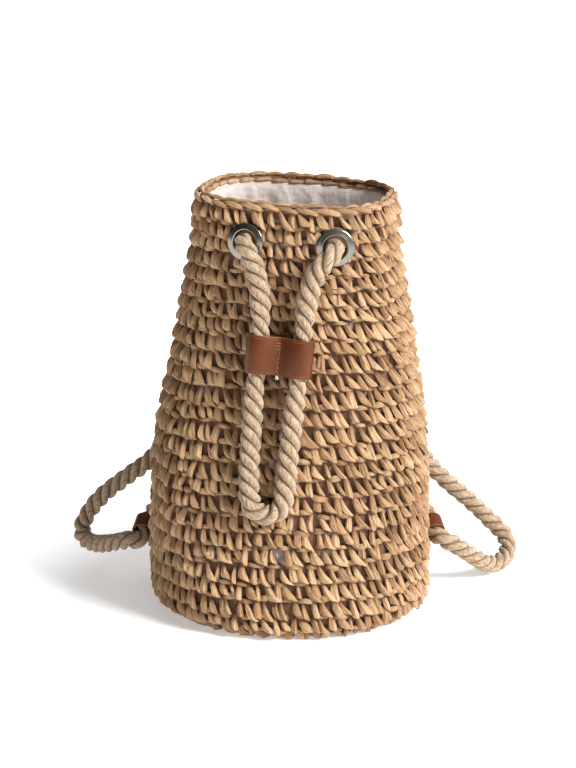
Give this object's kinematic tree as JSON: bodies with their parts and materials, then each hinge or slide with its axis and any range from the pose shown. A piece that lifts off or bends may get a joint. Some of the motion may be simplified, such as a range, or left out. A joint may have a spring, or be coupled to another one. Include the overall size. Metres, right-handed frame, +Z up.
{
  "type": "drawstring backpack",
  "caption": "Crocheted straw bucket backpack, lined and open at the top, with metal eyelets and a twisted rope as drawstring and shoulder straps, held by a leather slider and side tabs.",
  "frame": {"origin": "on the floor under the middle of the base", "axes": "+Z up the bag, the front with the slider faces -Y, +X to the right of the bag as its front is looked at"},
  "size_m": [0.3546, 0.2, 0.3201],
  "materials": {
    "straw": "folded paper straw, matt with a slight sheen, crocheted in thick stitches",
    "lining_cotton": "thin matt woven cotton",
    "rope_cotton": "three soft twisted strands, matt",
    "tan_leather": "smooth tan leather with a low sheen, lighter at the cut edges",
    "dark_nickel": "polished dark nickel"
  },
  "bodies": {
    "root": {"straw_body": "straw", "rim_braid": "straw", "lining": "lining_cotton", "eyelet_front_left": "dark_nickel", "eyelet_front_right": "dark_nickel", "eyelet_back_left": "dark_nickel", "eyelet_back_right": "dark_nickel", "rope": "rope_cotton", "slider": "tan_leather", "tab_left": "tan_leather", "tab_right": "tan_leather"}
  },
  "joints": []
}
